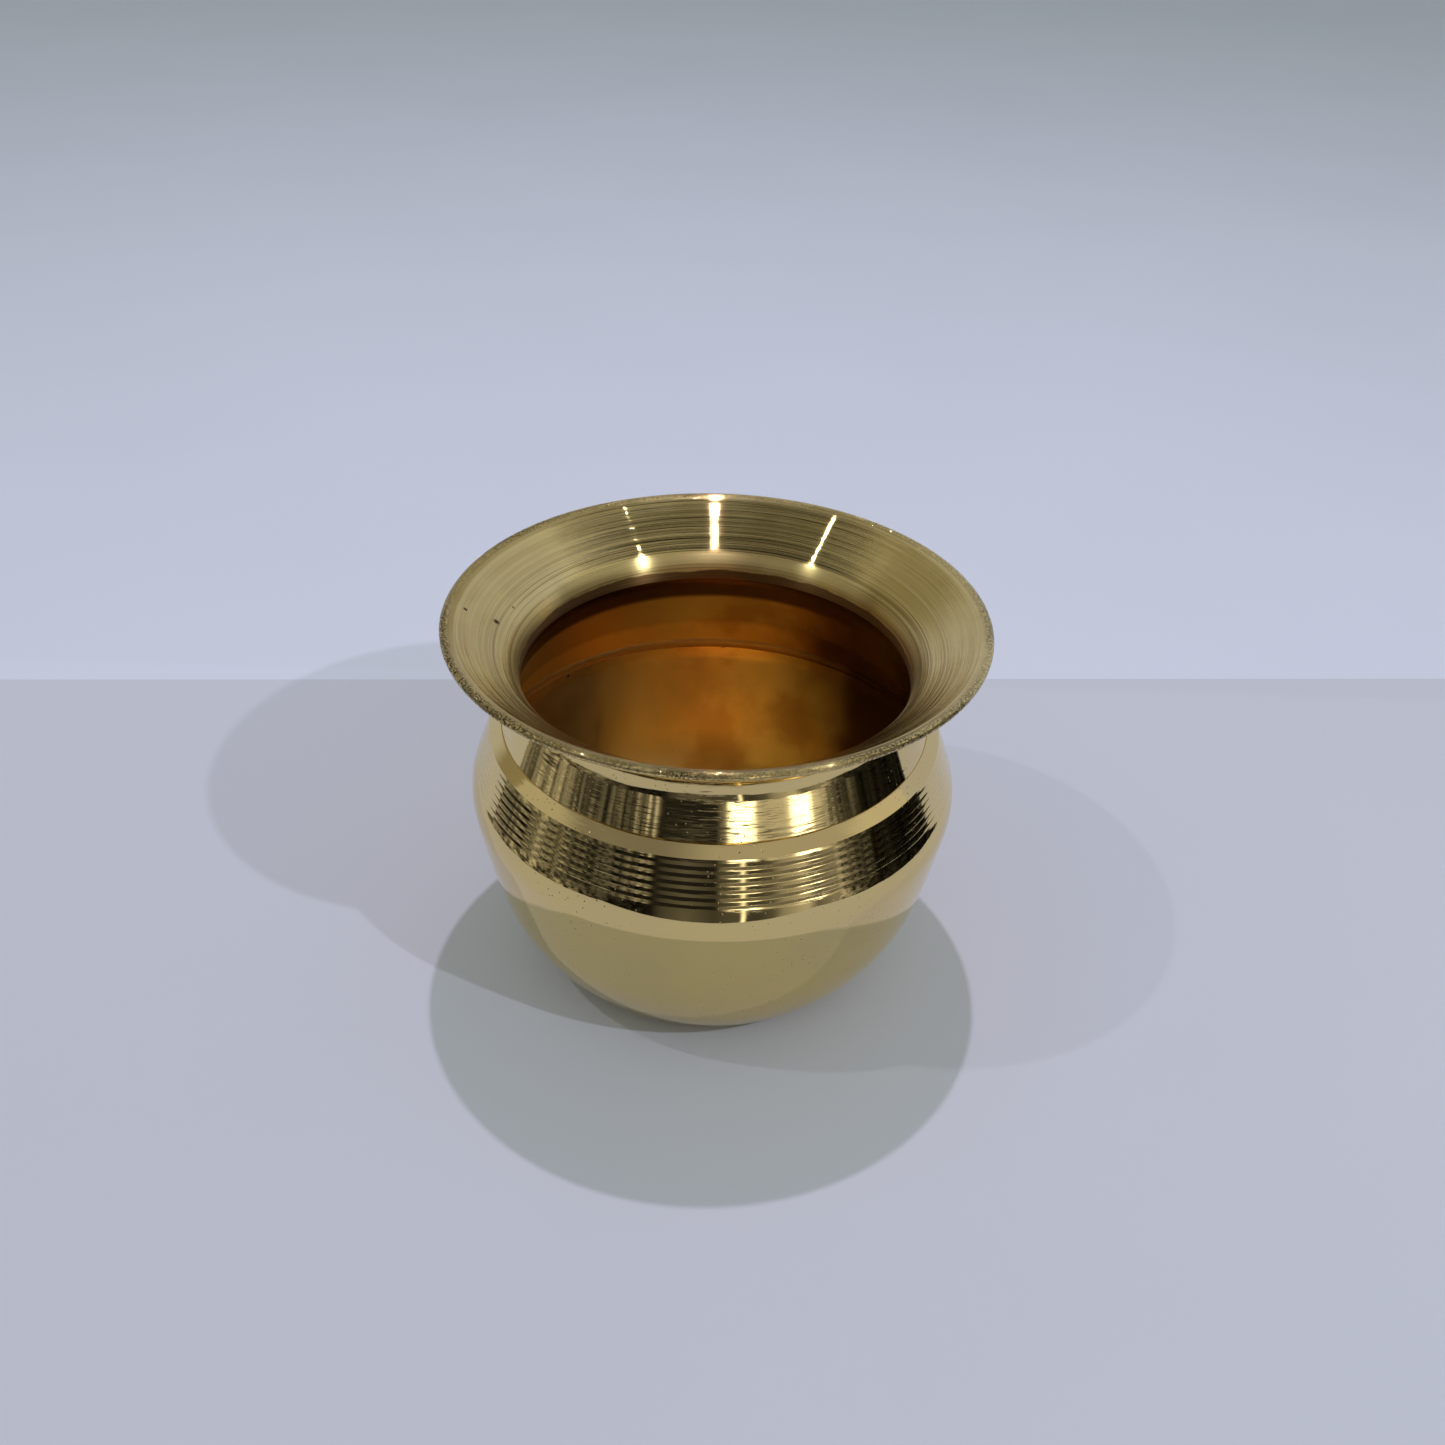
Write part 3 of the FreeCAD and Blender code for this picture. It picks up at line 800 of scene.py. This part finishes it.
def fill_ramp(ramp, stops):
    """Gives a ramp over a full turn its stops of degrees and brightness."""
    ramp.interpolation = "LINEAR"
    ramp.elements.remove(ramp.elements[1])
    ramp.elements[0].position = stops[0][0] / 360 + 0.5
    for angle, _ in stops[1:]:
        ramp.elements.new(angle / 360 + 0.5)
    for element, (_, brightness) in zip(ramp.elements, stops):
        element.color = (brightness, brightness, brightness, 1)


def room_brightness(tree, way, x, y, z):
    """A dim room with low windows, brighter in some directions than in others."""
    around = math_node(tree, "ARCTAN2", x, math_node(tree, "MULTIPLY", y, -1.0))
    around = math_node(tree, "MULTIPLY_ADD", around, 0.5 / math.pi, 0.5)
    rooms = []
    for stops in (ROOM_LOW, ROOM):
        made = add(tree, "ShaderNodeValToRGB", None, [("Fac", around)])
        fill_ramp(made.color_ramp, stops)
        rooms.append(made.outputs["Color"])
    # The windows reach further down to the sides than in front.
    level = math_node(tree, "ADD", z, math_node(tree, "MULTIPLY_ADD", y, 0.155, 0.155))
    room = blend(tree, between(tree, level, -0.018, -0.008), *rooms)
    dim = math_node(tree, "MINIMUM", room, OVER_WINDOWS)
    room = blend(tree, between(tree, level, 0.03, 0.045), room, dim)
    # Clutter: upright streaks and small patches of light and dark, except about the windows.
    squash = vector_node(tree, "MULTIPLY", way, (1.0, 1.0, 0.25))
    streak = add(tree, "ShaderNodeTexNoise", None, [("Vector", squash), ("Scale", 22.0), ("Detail", 6.0)])
    patch = add(tree, "ShaderNodeTexNoise", None, [("Vector", way), ("Scale", 30.0), ("Detail", 4.0)])
    both = math_node(tree, "MULTIPLY", streak.outputs["Fac"], patch.outputs["Fac"])
    clutter = math_node(tree, "MULTIPLY_ADD", between(tree, both, 0.16, 0.36), 1.767, 0.093)
    aside = math_node(tree, "ABSOLUTE", math_node(tree, "SUBTRACT", around, 0.5 + 15 / 360))
    clutter = blend(tree, between(tree, aside, 38 / 360, 44 / 360), 0.75, clutter)
    return math_node(tree, "MULTIPLY", room, clutter)


def ceiling_brightness(tree, x, y, z):
    """A pale ceiling, brighter on the right, with a dark round patch from overhead to the back."""
    edge = blend(tree, between(tree, x, -0.5, 0.6), *CEILING_EDGE)
    overhead = blend(tree, between(tree, x, -0.3, 0.1), *CEILING_OVERHEAD)
    ceiling = blend(tree, between(tree, z, 0.66, 0.76), edge, overhead)
    across = math_node(tree, "DIVIDE", x, 0.64)
    ahead = math_node(tree, "MULTIPLY_ADD", y, 1 / 0.6, -0.25 / 0.6)
    across, ahead = (math_node(tree, "POWER", part, 2.0) for part in (across, ahead))
    patch = between(tree, math_node(tree, "ADD", across, ahead), 1.1, 0.9)
    patch = math_node(tree, "MULTIPLY", patch, between(tree, z, 0.6, 0.7))
    return blend(tree, patch, ceiling, CEILING_PATCH)


def make_world():
    """Even pale light, and for mirrors a dim room with a few windows under a pale ceiling."""
    world = bpy.data.worlds.new("studio")
    bpy.context.scene.world = world
    world.use_nodes = True
    world.cycles.sampling_method = "NONE"
    tree = world.node_tree
    tree.nodes.clear()
    way = add(tree, "ShaderNodeTexCoord").outputs["Generated"]
    x, y, z = add(tree, "ShaderNodeSeparateXYZ", None, [(0, way)]).outputs
    room = room_brightness(tree, way, x, y, z)
    ceiling = ceiling_brightness(tree, x, y, z)
    # The ceiling starts lower to the sides.
    start = math_node(tree, "MULTIPLY_ADD", math_node(tree, "ABSOLUTE", x), 0.2, z)
    seen = blend(tree, between(tree, start, 0.52, 0.62), room, ceiling)
    mirror = add(tree, "ShaderNodeBackground", None, [("Color", seen), ("Strength", 1.0)])
    even = add(tree, "ShaderNodeBackground", None, [("Color", EVEN_TONE), ("Strength", EVEN_STRENGTH)])
    path = add(tree, "ShaderNodeLightPath")
    mix = add(
        tree, "ShaderNodeMixShader", None,
        [(0, path.outputs["Is Glossy Ray"]), (1, even.outputs[0]), (2, mirror.outputs[0])],
    )
    add(tree, "ShaderNodeOutputWorld", None, [("Surface", mix.outputs[0])])


def lamp(name, way, distance, size, watts, colour):
    """A small round lamp that lights the rim from a direction."""
    rim = Vector((0, 0, TOTAL_HEIGHT * MM))
    light = bpy.data.lights.new(name, "AREA")
    light.shape = "DISK"
    light.size = size
    light.energy = watts
    light.color = colour
    made = bpy.data.objects.new(name, light)
    made.location = rim + Vector(way).normalized() * distance
    made.rotation_euler = (rim - made.location).to_track_quat("-Z", "Y").to_euler()
    bpy.context.scene.collection.objects.link(made)


def make_camera():
    """A phone's main camera, near the rim and turned slightly."""
    rim = Vector((0, 0, (TOTAL_HEIGHT - LIP_THICKNESS / 2) * MM))
    distance = CAMERA_DISTANCE * RIM_RADIUS * MM
    rise, pitch, yaw, roll = (
        math.radians(angle) for angle in (CAMERA_RISE, CAMERA_PITCH, CAMERA_YAW, CAMERA_ROLL)
    )
    data = bpy.data.cameras.new("camera")
    data.sensor_width = 36.0
    data.lens = LENS
    data.clip_start = 0.01
    camera = bpy.data.objects.new("camera", data)
    forward = Vector((math.sin(yaw) * math.cos(pitch), math.cos(yaw) * math.cos(pitch), -math.sin(pitch)))
    right = forward.cross(Vector((0, 0, 1))).normalized()
    up = right.cross(forward)
    turned_right = right * math.cos(roll) + up * math.sin(roll)
    turned_up = up * math.cos(roll) - right * math.sin(roll)
    turn = Matrix((turned_right, turned_up, -forward)).transposed().to_4x4()
    place = rim + Vector((0, -distance * math.cos(rise), distance * math.sin(rise)))
    camera.matrix_world = Matrix.Translation(place) @ turn
    bpy.context.scene.collection.objects.link(camera)
    bpy.context.scene.camera = camera


# ---------------------------------------------------------------- the scene

lathe("bowl_shell", "bowl", bowl_outline())
lathe("shoulder_ring", "shoulder", shoulder_outline())
lathe("mouth_and_neck", "mouth_collar", collar_outline())
lathe("belly_bead", "belly_braze", belly_braze_outline())
lathe("neck_ring", "neck_braze", neck_braze_outline())
make_floor()
make_world()
for lamp_name, settings in LAMPS.items():
    lamp(lamp_name, *settings)
make_camera()
bpy.context.scene.view_settings.view_transform = "Standard"
bpy.context.scene.cycles.glossy_bounces = 16
bpy.context.scene.cycles.max_bounces = 24
